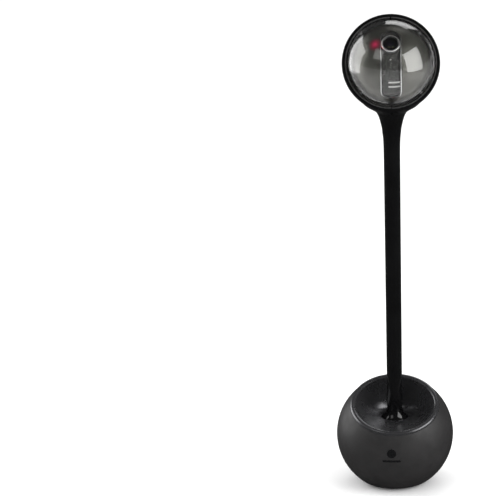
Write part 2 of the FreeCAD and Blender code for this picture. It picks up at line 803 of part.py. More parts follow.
def chassis():
    ring = pitched(tube(31.7, 26.95, 1.0, WINDOW_SEAT), DOME_PITCH, ORIGIN)
    outline = window_frame([(1, 27), (-5, 27), (-8, 8), (-24, 6), (-24, -6)])
    outline += [(13.5, -25.4), (13.5, -26.9), (4.0, -26.9)]
    outline += window_frame([(-3, -27), (1, -27)])
    plates = [prism(outline, PLATE_IN, PLATE_OUT), prism(outline, -PLATE_OUT, -PLATE_IN)]
    shelf = block((-PLATE_OUT, PLATE_OUT), (4.0, 17.0), (-26.9, -25.4))
    motor = Vector(0, *TILT_MOTOR_YZ)
    cradle = tube(MOTOR_R + 1.2, MOTOR_R + 0.02, -PLATE_IN, 5.0, motor, X_AXIS)
    behind = pitched(cylinder(EXTENT, -EXTENT, -TILT_MOTOR_BACK), DOME_PITCH, ORIGIN)
    frame = joined([ring, shelf] + plates + [cradle.common(behind)])
    frame = frame.common(ball(31.9))
    frame = frame.cut(cylinder(AXLE_R + RUNNING_GAP, -EXTENT, EXTENT, Vector(0, *TILT_AXIS_YZ), X_AXIS))
    frame = frame.cut(cylinder(SHAFT_R + RUNNING_GAP, PLATE_IN - 1, EXTENT, motor, X_AXIS))
    frame = frame.cut(cylinder(2.0, -EXTENT, 0, motor, X_AXIS))
    frame = frame.cut(cylinder(2.0, -EXTENT, 0, Vector(0, PAN_PINION_AT, 0)))
    for angle in CHASSIS_SCREW_ANGLES:
        frame = frame.cut(pitched(cylinder(0.8, -5, 5, chassis_screw_place(angle)), DOME_PITCH, ORIGIN))
    return moved(frame, HEAD)


CHASSIS_SCREW_ANGLES = (45, 135, 225, 315)


def chassis_screw_place(angle):
    radius = 29.0
    return Vector(radius * math.cos(math.radians(angle)), radius * math.sin(math.radians(angle)), 0)


def chassis_screws():
    """Four screws through the frame's ring, heads in front."""
    screws = []
    for angle in CHASSIS_SCREW_ANGLES:
        place = chassis_screw_place(angle)
        shank = cylinder(0.8, 0.9, WINDOW_SEAT, place)
        head = cylinder(1.0, WINDOW_SEAT, WINDOW_SEAT + 0.7, place)
        screws.append(in_head(joined([shank, head])))
    return Part.makeCompound(screws)


def seam_dowels():
    dowels = []
    for y, z in DOWEL_PLACES:
        dowels.append(cylinder(DOWEL_R, -3, 3, HEAD + Vector(0, y, z), X_AXIS))
    return Part.makeCompound(dowels)


def main_board():
    board = block((-14, 14), (24.8, 26.0), (-11, 11))
    chips = [block((-10, -4), (26.0, 27.0), (-4, 2)), block((-1, 4), (26.0, 26.8), (1, 6)),
             block((1, 8), (26.0, 28.0), (-8, -4)), block((6, 10), (26.0, 26.9), (-1, 3))]
    return moved(joined([board] + chips), HEAD)


def pan_bush():
    return moved(tube(BUSH_R, SPINDLE_R + RUNNING_GAP, -SKIRT_DROP + 0.1, -FLOOR_DROP), HEAD)


def pan_motor():
    centre = HEAD + Vector(0, PAN_PINION_AT, 0)
    can = cylinder(MOTOR_R, PAN_MOTOR_FOOT, PAN_MOTOR_TOP, centre)
    boss = cylinder(1.9, PAN_MOTOR_FOOT - 1.5, PAN_MOTOR_FOOT, centre)
    bore = cylinder(SHAFT_R + RUNNING_GAP, PAN_MOTOR_FOOT - 2, PAN_MOTOR_FOOT + 6, centre)
    return joined([can, boss]).cut(bore)


def tilt_motor():
    centre = HEAD + Vector(0, *TILT_MOTOR_YZ)
    can = cylinder(MOTOR_R, -PLATE_IN, 5.2, centre, X_AXIS)
    boss = cylinder(1.9, -PLATE_OUT, -PLATE_IN, centre, X_AXIS)
    nose = cylinder(2.2, 5.2, 6.6, centre, X_AXIS)
    bore = cylinder(SHAFT_R + RUNNING_GAP, -1, 8, centre, X_AXIS)
    return joined([can, boss, nose]).cut(bore)


def pan_pinion():
    """Pinion with its motor shaft, meshed behind the fixed gear."""
    half_tooth = 180 / PINION_TEETH
    wheel = gear(PINION_TEETH, -GEAR_FOOT_DROP + 0.1, -GEAR_TOP_DROP - 0.1, None, -90 + half_tooth)
    shaft = cylinder(SHAFT_R, -GEAR_TOP_DROP - 0.1, PAN_MOTOR_FOOT + 5)
    return moved(joined([wheel, shaft]), HEAD + Vector(0, PAN_PINION_AT, 0))


def along_x(shape, turn):
    """Lay a shape built along +Z on its side along +X, turned about that axis."""
    laid = shape.copy()
    laid.rotate(ORIGIN, Z_AXIS, turn)
    laid.rotate(ORIGIN, Vector(0, 1, 0), 90)
    return laid


def tilt_pinion():
    """Pinion with its motor shaft, meshed behind the eye's sector."""
    wheel = gear(PINION_TEETH, PINION_FROM, PINION_TO, None, 0)
    shaft = cylinder(SHAFT_R, 0, PLATE_OUT)
    gap_line = gear_line_turn() + 180 + 180 / PINION_TEETH
    return moved(along_x(joined([wheel, shaft]), gap_line), HEAD + Vector(0, *TILT_MOTOR_YZ))


def gear_line_turn():
    """Turn about X, after laying down, that carries local +X to the line from sector to pinion."""
    y, z = TILT_MOTOR_YZ[0] - TILT_AXIS_YZ[0], TILT_MOTOR_YZ[1] - TILT_AXIS_YZ[1]
    return math.degrees(math.atan2(y, -z))


# ---------------------------------------------------------------- eye

LENS_ELEVATION = DOME_PITCH + LENS_REST_TILT
WEB_IN = 4.95
BARREL_BACK = 12.0
BARREL_FRONT = 27.3


def in_eye(shape):
    """Place a shape built along +Z about the tilt centre so that it faces the lens's way."""
    return pitched(shape, LENS_ELEVATION, TILT_CENTRE)


def eye_fan(up, down, reach, start, end):
    """Wedge about X, from down below the lens's axis to up above it."""
    fan = [(0, 0)]
    steps = 10
    for step in range(steps + 1):
        angle = math.radians(-down + (up + down) * step / steps)
        fan.append((reach * math.sin(angle), reach * math.cos(angle)))
    return prism(fan, start, end)


def lens_carriage():
    """Curved shield behind the slot, with two webs down to the axles and an arm for the lamp."""
    slab = cylinder(EXTENT, -DRUM_HALF, DRUM_HALF, ORIGIN, X_AXIS)
    zone = ball(DRUM_R).cut(ball(DRUM_R - DRUM_WALL)).common(slab)
    shield = zone.common(eye_fan(DRUM_UP, DRUM_DOWN, 60, -EXTENT, EXTENT))
    webs = []
    for side in (-1, 1):
        start, end = sorted((side * WEB_IN, side * DRUM_HALF))
        web = cylinder(DRUM_R - 0.5, start, end, ORIGIN, X_AXIS).common(ball(DRUM_R - 0.2))
        web = web.common(eye_fan(17, 17, 60, start, end))
        hub = cylinder(4.0, start, end, ORIGIN, X_AXIS)
        webs += [web, hub]
    arm = block((-LED_SIDE - 2.0, -DRUM_HALF + 0.3), (-2, 2), (16.8, 18.8))
    body = joined([shield, arm] + webs)
    body = body.cut(cylinder(AXLE_R, -EXTENT, EXTENT, ORIGIN, X_AXIS))
    body = body.cut(cylinder(LENS_R + 0.05, BARREL_BACK, EXTENT))
    return in_eye(body)


def lens_barrel():
    """Barrel with stepped rings in its mouth."""
    outline = [(2.35, BARREL_BACK), (LENS_R, BARREL_BACK), (LENS_R, BARREL_FRONT), (4.45, BARREL_FRONT),
               (4.25, 26.6), (3.8, 26.6), (3.6, 25.9), (3.1, 25.9), (2.9, 25.2), (2.35, 25.2)]
    return in_eye(turned_polygon(outline))


def lens_ring():
    """Bright ring round the barrel, its underside shaped to the shield."""
    inner_r = LENS_R + 0.03
    outline = [(inner_r, 25.5), (RING_R, 25.5), (RING_R, 27.6), (RING_R - 0.3, 28.0), (inner_r + 0.5, 28.0),
               (inner_r, 27.5)]
    return in_eye(turned_polygon(outline).cut(ball(DRUM_R + 0.02)))


def lens_glass():
    """Small front lens, flat behind and domed in front."""
    crown_r = 4.23
    disc = cylinder(2.33, 23.6, 26.5)
    return in_eye(disc.common(ball(crown_r, Vector(0, 0, 25.8 - crown_r))))


def sensor_board():
    board = block((-4.8, 4.8), (-6, 6), (9.8, 11.0))
    chip = block((-3, 3), (-3, 3), (11.0, 11.9))
    return in_eye(joined([board, chip]))


def indicator_led():
    """Small round lamp beside the lens."""
    radius = 1.5
    tip = 24.0
    foot = cylinder(radius + 0.3, 18.8, 19.6)
    stem = cylinder(radius, 19.0, tip - radius)
    lamp = joined([foot, stem, ball(radius, Vector(0, 0, tip - radius))])
    return in_eye(moved(lamp, Vector(-LED_SIDE, 0, 0)))


def tilt_sector():
    """Part of a gear on the right axle, its teeth turned to the motor behind."""
    wheel = along_x(gear(SECTOR_TEETH, PINION_FROM, PINION_TO, None, 0), gear_line_turn())
    start = 180 - DOME_PITCH
    spread = []
    steps = 8
    for step in range(steps + 1):
        angle = math.radians(start - 16 + (LENS_TRAVEL + 32) * step / steps)
        spread.append((-40 * math.cos(angle), 40 * math.sin(angle)))
    wheel = wheel.common(prism([(0, 0)] + spread, PINION_FROM, PINION_TO))
    hub = cylinder(4.0, DRUM_HALF, PINION_TO, ORIGIN, X_AXIS)
    hub_wheel = joined([wheel, hub]).cut(cylinder(AXLE_R, 0, EXTENT, ORIGIN, X_AXIS))
    return moved(hub_wheel, TILT_CENTRE)


LENS_TRAVEL = 54.0


def tilt_axles():
    axles = []
    for side in (-1, 1):
        start, end = sorted((side * WEB_IN, side * (PLATE_OUT - 0.1)))
        axles.append(cylinder(AXLE_R, start, end, TILT_CENTRE, X_AXIS))
    return Part.makeCompound(axles)


# ---------------------------------------------------------------- all pieces

def main():
    os.makedirs("parts", exist_ok=True)
    pieces = {
        "base_shell": base_shell, "trim_bowl": trim_bowl, "socket_housing": socket_housing,
        "base_contacts": base_contacts, "base_board": base_board, "ballast_weight": ballast_weight,
        "bottom_plate": bottom_plate, "foot_pad": foot_pad, "bottom_screws": bottom_screws,
        "cord_grommet": cord_grommet, "microphone": microphone,
        "front_badge": front_badge, "badge_bar": badge_bar,
        "stalk_tube": stalk_tube, "foot_plug": foot_plug, "foot_contacts": foot_contacts,
        "stalk_core": stalk_core, "top_contacts": top_contacts,
        "neck_cone": neck_cone, "pan_spindle": pan_spindle, "sun_gear": sun_gear,
        "neck_plug": neck_plug, "neck_contacts": neck_contacts,
        "shell_left": lambda: head_shell(-1), "shell_right": lambda: head_shell(1),
        "bezel_left": lambda: bezel(-1), "bezel_right": lambda: bezel(1),
        "dome_window": dome_window, "slot_mask": slot_mask, "slot_lip": slot_lip,
        "chassis": chassis, "chassis_screws": chassis_screws, "seam_dowels": seam_dowels,
        "main_board": main_board, "pan_bush": pan_bush, "pan_motor": pan_motor, "tilt_motor": tilt_motor,
        "pan_pinion": pan_pinion, "tilt_pinion": tilt_pinion,
        "lens_carriage": lens_carriage, "lens_barrel": lens_barrel, "lens_ring": lens_ring,
        "lens_glass": lens_glass, "sensor_board": sensor_board, "indicator_led": indicator_led,
        "tilt_sector": tilt_sector, "tilt_axles": tilt_axles,
    }
    for name, make in pieces.items():
        save(name, make())


main()
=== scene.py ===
"""Looks of the motorised desk webcam: materials, small raised details, studio and camera.

Metres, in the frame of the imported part: +Z is up and the camera looks along -Y.
"""

import json
import math
import random

import bmesh
import bpy
from mathutils import Matrix, Vector


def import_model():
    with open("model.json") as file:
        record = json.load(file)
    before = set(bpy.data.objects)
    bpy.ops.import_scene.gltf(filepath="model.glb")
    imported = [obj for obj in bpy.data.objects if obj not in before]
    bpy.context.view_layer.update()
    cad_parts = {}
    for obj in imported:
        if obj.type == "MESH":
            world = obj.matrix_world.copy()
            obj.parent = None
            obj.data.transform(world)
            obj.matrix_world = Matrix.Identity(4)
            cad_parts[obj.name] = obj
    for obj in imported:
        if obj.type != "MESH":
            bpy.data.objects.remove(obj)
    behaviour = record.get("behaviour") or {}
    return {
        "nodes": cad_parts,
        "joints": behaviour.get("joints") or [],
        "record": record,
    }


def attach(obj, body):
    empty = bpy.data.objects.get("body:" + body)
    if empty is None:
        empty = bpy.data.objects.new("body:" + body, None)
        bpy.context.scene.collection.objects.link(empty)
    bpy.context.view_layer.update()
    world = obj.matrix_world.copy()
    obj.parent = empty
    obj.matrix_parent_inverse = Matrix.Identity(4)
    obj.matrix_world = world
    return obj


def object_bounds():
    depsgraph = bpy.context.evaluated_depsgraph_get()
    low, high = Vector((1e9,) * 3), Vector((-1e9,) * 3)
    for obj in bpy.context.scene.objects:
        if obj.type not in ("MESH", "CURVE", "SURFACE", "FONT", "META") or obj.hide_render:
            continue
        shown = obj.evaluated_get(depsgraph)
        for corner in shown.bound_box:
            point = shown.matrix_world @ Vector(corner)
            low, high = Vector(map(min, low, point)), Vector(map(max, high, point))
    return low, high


MM = 0.001

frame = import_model()
cad_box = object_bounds()
nodes = frame["nodes"]


# ---------------------------------------------------------------- places taken from the frame

def joint(name):
    """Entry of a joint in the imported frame."""
    return next(entry for entry in frame["joints"] if entry["name"] == name)


TILT_CENTRE = Vector(joint("tilt")["pos_m"])
OBJECT_MIDDLE = (cad_box[0] + cad_box[1]) / 2
LENS_ELEVATION = math.radians(45.0)
DRUM_R = 26.3 * MM


def eye_point(side, angle, radius):
    """Point on a ball about the tilt centre, side off the middle and angle above the lens's axis."""
    reach = math.sqrt(radius ** 2 - side ** 2)
    lift = LENS_ELEVATION + angle
    return TILT_CENTRE + Vector((side, -reach * math.cos(lift), reach * math.sin(lift)))


# ---------------------------------------------------------------- material building

class Look:
    """A material being built: its shader, and short ways to add nodes."""

    def __init__(self, title, **values):
        self.material = bpy.data.materials.new(title)
        self.material.use_nodes = True
        self.nodes = self.material.node_tree.nodes
        self.links = self.material.node_tree.links
        self.shader = self.nodes["Principled BSDF"]
        self.place = self.nodes.new("ShaderNodeTexCoord").outputs["Object"]
        sockets = {socket.name.lower().replace(" ", "_"): socket for socket in self.shader.inputs}
        for name, value in values.items():
            sockets[name].default_value = value

    def feed(self, source, socket):
        """Link a socket to an output, or set it to a value."""
        if isinstance(source, bpy.types.NodeSocket):
            self.links.new(source, socket)
        else:
            socket.default_value = source

    def drive(self, source, socket_name):
        self.links.new(source, self.shader.inputs[socket_name])

    def mapped(self, size, stretch=(1, 1, 1)):
        """Object coordinates, scaled so that one unit is size, with each axis stretched."""
        node = self.nodes.new("ShaderNodeMapping")
        node.inputs["Scale"].default_value = [1 / (size * s) for s in stretch]
        self.links.new(self.place, node.inputs["Vector"])
        return node.outputs["Vector"]

    def noise(self, size, detail=2.0, stretch=(1, 1, 1), contrast=(0.3, 0.7)):
        """Cloudy pattern from 0 to 1, its patches about size across."""
        node = self.nodes.new("ShaderNodeTexNoise")
        node.inputs["Scale"].default_value = 1.0
        node.inputs["Detail"].default_value = detail
        self.links.new(self.mapped(size, stretch), node.inputs["Vector"])
        return self.ranged(node.outputs["Fac"], contrast[0], contrast[1], 0, 1)

    def cells(self, size, feature="F1", stretch=(1, 1, 1)):
        """Distance to the nearest of scattered points, about size apart."""
        node = self.nodes.new("ShaderNodeTexVoronoi")
        node.feature = feature
        node.inputs["Scale"].default_value = 1.0
        self.links.new(self.mapped(size, stretch), node.inputs["Vector"])
        return node.outputs["Distance"]

    def ranged(self, source, low, high, new_low, new_high):
        """Value taken from one range to another, and kept inside it."""
        node = self.nodes.new("ShaderNodeMapRange")
        node.clamp = True
        for socket, value in zip(node.inputs[1:5], (low, high, new_low, new_high)):
            socket.default_value = value
        self.links.new(source, node.inputs["Value"])
        return node.outputs["Result"]

    def math(self, operation, first, second=0.0):
        node = self.nodes.new("ShaderNodeMath")
        node.operation = operation
        self.feed(first, node.inputs[0])
        self.feed(second, node.inputs[1])
        return node.outputs[0]

    def blend(self, share, first, second):
        """Colour between two colours."""
        node = self.nodes.new("ShaderNodeMix")
        node.data_type = "RGBA"
        self.feed(share, node.inputs["Factor"])
        for socket, colour in ((node.inputs[6], first), (node.inputs[7], second)):
            self.feed((*colour, 1.0) if isinstance(colour, tuple) else colour, socket)
        return node.outputs[2]

    def bump(self, height, depth, below=None):
        """Normal of a relief of that depth, on top of another relief if one is given."""
        node = self.nodes.new("ShaderNodeBump")
        node.inputs["Strength"].default_value = 1.0
        node.inputs["Distance"].default_value = depth
        self.links.new(height, node.inputs["Height"])
        if below is not None:
            self.links.new(below, node.inputs["Normal"])
        return node.outputs["Normal"]

    def distance_from(self, point):
        """Distance from a point of the part's own frame."""
        node = self.nodes.new("ShaderNodeVectorMath")
        node.operation = "DISTANCE"
        node.inputs[1].default_value = point
        self.links.new(self.place, node.inputs[0])
        return node.outputs["Value"]

    def smudged(self, low, high, size=14 * MM):
        """Roughness with faint handling marks and hair scratches."""
        marks = self.noise(size, 4.0)
        scratches = self.noise(1.2 * MM, 2.0, (1, 1, 14), (0.62, 0.72))
        wear = self.math("MAXIMUM", marks, scratches)
        self.drive(self.ranged(wear, 0, 1, low, high), "Roughness")


def soft_touch():
    """Rubbery matt paint with a fine grain."""
    look = Look("soft_touch", specular_ior_level=0.42)
    look.drive(look.blend(look.noise(9 * MM, 5.0), (0.0165, 0.0158, 0.0160), (0.0215, 0.0205, 0.0208)),
               "Base Color")
    look.drive(look.ranged(look.noise(6 * MM, 4.0), 0, 1, 0.46, 0.56), "Roughness")
    grain = look.bump(look.noise(0.32 * MM, 3.0), 0.012 * MM)
    look.drive(look.bump(look.noise(3.5 * MM, 2.0), 0.01 * MM, grain), "Normal")
    return look.material


def gloss_black():
    """Polished black plastic with a faint ripple from the mould."""
    look = Look("gloss_black")
    look.drive(look.blend(look.noise(20 * MM, 3.0), (0.0018, 0.0018, 0.0020), (0.0036, 0.0036, 0.0038)),
               "Base Color")
    look.smudged(0.055, 0.11)
    look.drive(look.bump(look.noise(5 * MM, 1.0), 0.0025 * MM), "Normal")
    return look.material


def gloss_gunmetal():
    """Dark lacquered metal look of the dish, satin under a clear coat."""
    look = Look("gloss_gunmetal", metallic=0.8, coat_weight=0.4, coat_roughness=0.16)
    look.drive(look.blend(look.noise(0.25 * MM, 2.0), (0.070, 0.070, 0.074), (0.100, 0.100, 0.105)),
               "Base Color")
    look.smudged(0.24, 0.33, 9 * MM)
    look.drive(look.bump(look.noise(0.4 * MM, 2.0), 0.003 * MM), "Normal")
    return look.material


def silver_trim():
    """Satin silver with fine turned lines."""
    look = Look("silver_trim", metallic=1.0)
    lines = look.noise(0.12 * MM, 3.0, (5, 1, 1))
    look.drive(look.blend(lines, (0.56, 0.56, 0.57), (0.78, 0.78, 0.78)), "Base Color")
    look.drive(look.ranged(lines, 0, 1, 0.2, 0.34), "Roughness")
    look.drive(look.bump(lines, 0.004 * MM), "Normal")
    return look.material


def through_for_lamps(look, tint):
    """Let lamplight pass straight through a clear material."""
    clear = look.nodes.new("ShaderNodeBsdfTransparent")
    clear.inputs["Color"].default_value = (*tint, 1.0)
    path = look.nodes.new("ShaderNodeLightPath")
    mix = look.nodes.new("ShaderNodeMixShader")
    look.links.new(path.outputs["Is Shadow Ray"], mix.inputs["Fac"])
    look.links.new(look.shader.outputs["BSDF"], mix.inputs[1])
    look.links.new(clear.outputs["BSDF"], mix.inputs[2])
    look.links.new(mix.outputs["Shader"], look.nodes["Material Output"].inputs["Surface"])


def smoked_window():
    """Clear acrylic with a light smoke tint and a trace of dust."""
    look = Look("smoked_window", transmission_weight=1.0, ior=1.49)
    look.drive(look.blend(look.noise(18 * MM, 2.0), (0.90, 0.90, 0.90), (0.95, 0.95, 0.94)), "Base Color")
    look.drive(look.ranged(look.noise(7 * MM, 5.0, contrast=(0.5, 0.8)), 0, 1, 0.0, 0.018), "Roughness")
    through_for_lamps(look, (0.9, 0.9, 0.89))
    return look.material


def mask_grey():
    """Dark metallic paint with a little olive in it and a fine flake."""
    look = Look("mask_grey", metallic=0.75)
    flake = look.noise(0.22 * MM, 1.0, contrast=(0.35, 0.75))
    cloud = look.noise(8 * MM, 3.0)
    tone = look.blend(cloud, (0.050, 0.050, 0.044), (0.078, 0.077, 0.068))
    look.drive(look.blend(flake, tone, (0.16, 0.16, 0.145)), "Base Color")
    look.drive(look.ranged(flake, 0, 1, 0.40, 0.30), "Roughness")
    look.drive(look.bump(look.noise(0.3 * MM, 2.0), 0.004 * MM), "Normal")
    return look.material


RING_FRONT_R = 26.8 * MM
RING_PAINTED_SHADE_R = 5.5 * MM
RING_SILVER_R = 5.75 * MM


def ring_silver():
    """Silver of the lens ring, with painted shade: its inner slope is coloured black so that only the
    outer crest shows as a bright line.
    """
    look = Look("ring_silver", roughness=0.28)
    away = look.distance_from(eye_point(0, 0, RING_FRONT_R))
    rim = look.ranged(away, RING_PAINTED_SHADE_R, RING_SILVER_R, 0, 1)
    lines = look.noise(0.12 * MM, 3.0, (5, 1, 1))
    silver = look.blend(lines, (0.62, 0.62, 0.63), (0.85, 0.85, 0.85))
    # painted shade: black on the ring's inner slope, silver only out at its crest
    look.drive(look.blend(rim, (0.012, 0.012, 0.012), silver), "Base Color")
    look.drive(rim, "Metallic")
    look.drive(look.bump(lines, 0.004 * MM), "Normal")
    return look.material


def inner_black():
    """Spark-textured black moulding."""
    look = Look("inner_black")
    look.drive(look.blend(look.noise(4 * MM, 3.0), (0.010, 0.010, 0.010), (0.018, 0.018, 0.018)),
               "Base Color")
    look.drive(look.ranged(look.noise(2 * MM), 0, 1, 0.42, 0.6), "Roughness")
    look.drive(look.bump(look.noise(0.25 * MM, 3.0), 0.015 * MM), "Normal")
    return look.material


def drum_board():
    """Black shield behind the slot, flecked with solder points and fine tracks."""
    look = Look("drum_board")
    tracks = look.cells(1.5 * MM, "DISTANCE_TO_EDGE")
    track_line = look.ranged(tracks, 0.05, 0.0, 0, 1)
    points = look.ranged(look.cells(0.62 * MM), 0.28, 0.16, 0, 1)
    sparse = look.noise(1.1 * MM, 1.0, contrast=(0.48, 0.56))
    flecks = look.math("MULTIPLY", points, sparse)
    ground = look.blend(look.noise(2.4 * MM, 4.0), (0.010, 0.010, 0.010), (0.035, 0.035, 0.033))
    tracked = look.blend(look.math("MULTIPLY", track_line, 0.5), ground, (0.11, 0.11, 0.10))
    look.drive(look.blend(flecks, tracked, (0.42, 0.42, 0.40)), "Base Color")
    look.drive(look.ranged(flecks, 0, 1, 0.5, 0.25), "Roughness")
    raised = look.math("ADD", flecks, look.math("MULTIPLY", track_line, 0.3))
    look.drive(look.bump(raised, 0.05 * MM), "Normal")
    return look.material


def rubber():
    """Matt black rubber with a fine grain."""
    look = Look("rubber")
    look.drive(look.blend(look.noise(3 * MM, 3.0), (0.012, 0.012, 0.012), (0.022, 0.022, 0.021)),
               "Base Color")
    look.drive(look.ranged(look.noise(1.5 * MM), 0, 1, 0.7, 0.85), "Roughness")
    look.drive(look.bump(look.noise(0.2 * MM, 3.0), 0.02 * MM), "Normal")
    return look.material


def turned_metal(name, dark, light, roughness):
    """Metal with fine turning marks."""
    look = Look(name, metallic=1.0)
    marks = look.noise(0.15 * MM, 3.0, (6, 6, 1))
    look.drive(look.blend(marks, dark, light), "Base Color")
    look.drive(look.ranged(marks, 0, 1, roughness - 0.06, roughness + 0.08), "Roughness")
    look.drive(look.bump(marks, 0.006 * MM), "Normal")
    return look.material


def gear_white():
    """Moulded gear plastic that lets a little light in."""
    look = Look("gear_white", subsurface_weight=0.15, subsurface_scale=0.8 * MM)
    look.drive(look.blend(look.noise(2 * MM, 3.0), (0.70, 0.69, 0.63), (0.80, 0.79, 0.74)), "Base Color")
    look.drive(look.ranged(look.noise(1 * MM), 0, 1, 0.35, 0.5), "Roughness")
    look.drive(look.bump(look.noise(0.3 * MM, 2.0), 0.004 * MM), "Normal")
    return look.material


def circuit():
    """Solder mask over fine tracks, with bright pads."""
    look = Look("circuit")
    tracks = look.ranged(look.cells(1.8 * MM, "DISTANCE_TO_EDGE"), 0.05, 0.03, 0, 1)
    pads = look.ranged(look.cells(1.3 * MM), 0.16, 0.12, 0, 1)
    mask = look.blend(tracks, (0.004, 0.060, 0.022), (0.012, 0.120, 0.050))
    look.drive(look.blend(pads, mask, (0.75, 0.62, 0.30)), "Base Color")
    look.drive(look.ranged(pads, 0, 1, 0.32, 0.22), "Roughness")
    look.drive(look.bump(look.math("MAXIMUM", tracks, pads), 0.03 * MM), "Normal")
    return look.material


LENS_FRONT_R = 26 * MM
LENS_MIDDLE_R = 0.4 * MM
LENS_RIM_R = 2.3 * MM


def lens_coating():
    """Front lens: deep glass under a purple and green coating."""
    look = Look("lens_coating", coat_weight=1.0, coat_roughness=0.02, specular_ior_level=0.8,
                thin_film_thickness=420.0, thin_film_ior=1.38)
    away = look.distance_from(eye_point(0, 0, LENS_FRONT_R))
    rim = look.ranged(away, LENS_MIDDLE_R, LENS_RIM_R, 0, 1)
    look.drive(look.blend(rim, (0.004, 0.003, 0.010), (0.020, 0.012, 0.035)), "Base Color")
    look.drive(look.ranged(look.noise(0.8 * MM), 0, 1, 0.02, 0.05), "Roughness")
    return look.material


def lamp_red():
    """Small lit lamp with a slightly uneven glow."""
    look = Look("lamp_red", emission_strength=2.0)
    look.drive(look.blend(look.noise(0.8 * MM), (0.55, 0.01, 0.02), (0.75, 0.03, 0.04)), "Base Color")
    look.drive(look.blend(look.noise(0.8 * MM), (1.0, 0.05, 0.08), (1.0, 0.12, 0.14)), "Emission Color")
    look.drive(look.ranged(look.noise(0.5 * MM), 0, 1, 0.2, 0.35), "Roughness")
    return look.material


def badge():
    """Satin dark grey inlay, a little darker than the paint round it."""
    look = Look("badge", metallic=0.5)
    look.drive(look.blend(look.noise(0.2 * MM, 2.0), (0.006, 0.006, 0.007), (0.014, 0.014, 0.015)),
               "Base Color")
    look.drive(look.ranged(look.noise(1.5 * MM), 0, 1, 0.22, 0.34), "Roughness")
    look.drive(look.bump(look.noise(0.15 * MM, 2.0), 0.004 * MM), "Normal")
    return look.material


def pale_mark():
    """Pale colour on the shield: a painted highlight on the two bars, and the colour of the stud below the
    lens.
    """
    look = Look("pale_mark")
    look.drive(look.blend(look.noise(0.4 * MM, 3.0), (0.50, 0.50, 0.49), (0.72, 0.72, 0.70)), "Base Color")
    look.drive(look.ranged(look.noise(0.5 * MM), 0, 1, 0.4, 0.55), "Roughness")
    look.drive(look.bump(look.noise(0.1 * MM), 0.004 * MM), "Normal")
    return look.material


def chip_grey():
    """Small parts on the shield."""
    look = Look("chip_grey")
    look.drive(look.blend(look.noise(0.9 * MM, 2.0), (0.03, 0.03, 0.03), (0.20, 0.20, 0.19)), "Base Color")
    look.drive(look.ranged(look.noise(0.5 * MM), 0, 1, 0.25, 0.5), "Roughness")
    look.drive(look.bump(look.noise(0.1 * MM), 0.004 * MM), "Normal")
    return look.material


GLOW_SIDE = -10.8 * MM
GLOW_LAYER_R = 28.7 * MM
GLOW_R = 5.4 * MM


def red_glow():
    """Painted red glow, no lamp: light that fades out from its middle, standing for the lamp shining
    through the mask.
    """
    look = Look("red_glow")
    away = look.distance_from(eye_point(GLOW_SIDE, 0, GLOW_LAYER_R))
    near = look.ranged(away, 0, GLOW_R, 1, 0)
    share = look.math("MULTIPLY", look.math("POWER", near, 1.3), 0.9)
    light = look.nodes.new("ShaderNodeEmission")
    colour = look.blend(look.math("POWER", near, 2.0), (0.30, 0.02, 0.06), (0.55, 0.035, 0.10))
    look.links.new(colour, light.inputs["Color"])
    clear = look.nodes.new("ShaderNodeBsdfTransparent")
    mix = look.nodes.new("ShaderNodeMixShader")
    look.links.new(share, mix.inputs["Fac"])
    look.links.new(clear.outputs["BSDF"], mix.inputs[1])
    look.links.new(light.outputs["Emission"], mix.inputs[2])
    look.links.new(mix.outputs["Shader"], look.nodes["Material Output"].inputs["Surface"])
    look.nodes.remove(look.shader)
    return look.material


# ---------------------------------------------------------------- finishes of the CAD pieces

def finish_nodes():
    """Give each CAD piece the finish that its record names, and the eye's shield and ring their own."""
    finishes = {
        "soft_touch": soft_touch(), "gloss_black": gloss_black(), "gloss_gunmetal": gloss_gunmetal(),
        "silver_trim": silver_trim(), "smoked_window": smoked_window(), "mask_grey": mask_grey(),
        "inner_black": inner_black(), "rubber": rubber(),
        "steel": turned_metal("steel", (0.42, 0.42, 0.43), (0.60, 0.60, 0.61), 0.3),
        "brass": turned_metal("brass", (0.62, 0.44, 0.16), (0.78, 0.60, 0.27), 0.28),
        "gear_white": gear_white(), "circuit": circuit(), "lens_glass": lens_coating(),
        "lamp_red": lamp_red(), "badge": badge(),
    }
    for part in frame["record"]["subparts"]:
        put_on(nodes[part["node"]], finishes[part["material_slot"]])
    put_on(nodes["lens_carriage"], drum_board())
    put_on(nodes["lens_ring"], ring_silver())


def put_on(piece, material):
    """Make a material the only one of a piece."""
    piece.data.materials.clear()
    piece.data.materials.append(material)


# ---------------------------------------------------------------- small pieces on the eye

def piece_from(name, build, material, body, bevel=0.0):
    """Mesh object made by a function that fills a bmesh, riding on a body; smooth without a bevel."""
    mesh = bpy.data.meshes.new(name)
    shape = bmesh.new()
    build(shape)
    bmesh.ops.recalc_face_normals(shape, faces=shape.faces)
    shape.to_mesh(mesh)
    shape.free()
    piece = bpy.data.objects.new(name, mesh)
    bpy.context.scene.collection.objects.link(piece)
    for face in mesh.polygons:
        face.use_smooth = bevel == 0.0
    if bevel:
        rounding = piece.modifiers.new("edges", "BEVEL")
        rounding.width = bevel
        rounding.segments = 2
    put_on(piece, material)
    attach(piece, body)


def slab(shape, side, half_length, angle, half_height, foot_r, top_r, steps=1):
    """Low block that follows the shield, side and angle being its middle."""
    half_angle = half_height / foot_r
    rings = []
    for step in range(steps + 1):
        x = side - half_length + 2 * half_length * step / steps
        corners = []
        for radius, turn in ((foot_r, -1), (foot_r, 1), (top_r, 1), (top_r, -1)):
            corners.append(shape.verts.new(eye_point(x, angle + turn * half_angle, radius)))
        rings.append(corners)
    for before, after in zip(rings, rings[1:]):
        for index in range(4):
            following = (index + 1) % 4
            shape.faces.new((before[index], before[following], after[following], after[index]))
    shape.faces.new(rings[0])
    shape.faces.new(rings[-1][::-1])


FOOT_R = DRUM_R - 0.05 * MM
HIGHLIGHT_BAR_ANGLES = (-59.6, -67.4)
HIGHLIGHT_BAR_SIDE = 2.2 * MM
HIGHLIGHT_BAR_HALF_LENGTH = 4.0 * MM
HIGHLIGHT_BAR_HALF_HEIGHT = 0.6 * MM
HIGHLIGHT_BAR_STEPS = 8


